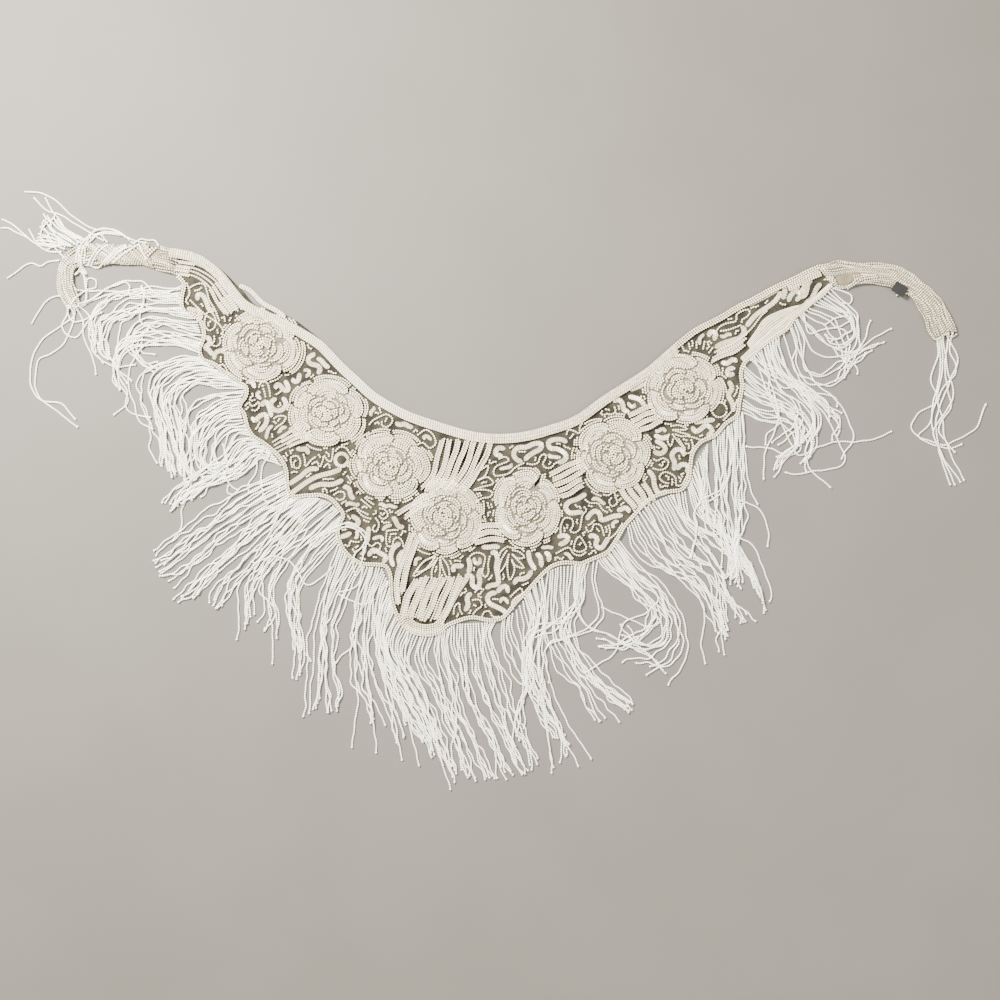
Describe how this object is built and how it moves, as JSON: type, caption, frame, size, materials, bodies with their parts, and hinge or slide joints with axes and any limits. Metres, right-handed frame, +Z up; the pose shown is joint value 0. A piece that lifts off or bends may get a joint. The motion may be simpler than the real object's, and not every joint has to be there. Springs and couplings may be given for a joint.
{
  "type": "beaded fringed collar",
  "caption": "Sheer net collar embroidered with beaded roses, with a scalloped hem, a long bead fringe and a beaded tie strap at each end, lying flat.",
  "frame": {"origin": "on the floor under the middle of the laid-out collar, bottom centre of its box", "axes": "+X towards the right strap as the picture shows it, +Y towards the neck edge's open side, +Z up from the floor"},
  "size_m": [1.0866, 0.6545, 0.0073],
  "materials": {
    "net": "sheer net",
    "seed_beads": "glossy opaque ivory",
    "sequins": "pearly translucent",
    "strap_beads": "glossy opaque cream",
    "fringe_beads": "glossy opaque ivory",
    "label": "woven tape"
  },
  "bodies": {
    "root": {"net_ground": "net", "neckline_band": "seed_beads", "hem_edging": "seed_beads", "rose_1": "sequins", "rose_2": "sequins", "rose_3": "sequins", "rose_4": "sequins", "rose_5": "sequins", "rose_6": "sequins", "rose_7": "sequins", "stem_bundle_1": "seed_beads", "stem_bundle_2": "seed_beads", "stem_bundle_3": "seed_beads", "stem_bundle_4": "seed_beads", "stem_bundle_5": "seed_beads", "stem_bundle_6": "seed_beads", "strap_left": "strap_beads", "strap_right": "strap_beads", "label_tab": "label", "fringe_1": "fringe_beads", "fringe_2": "fringe_beads", "fringe_3": "fringe_beads", "fringe_4": "fringe_beads", "fringe_5": "fringe_beads", "fringe_6": "fringe_beads", "fringe_7": "fringe_beads", "fringe_8": "fringe_beads", "tassel_left": "fringe_beads", "tassel_right": "fringe_beads", "wrapped_strands": "fringe_beads"}
  },
  "joints": []
}
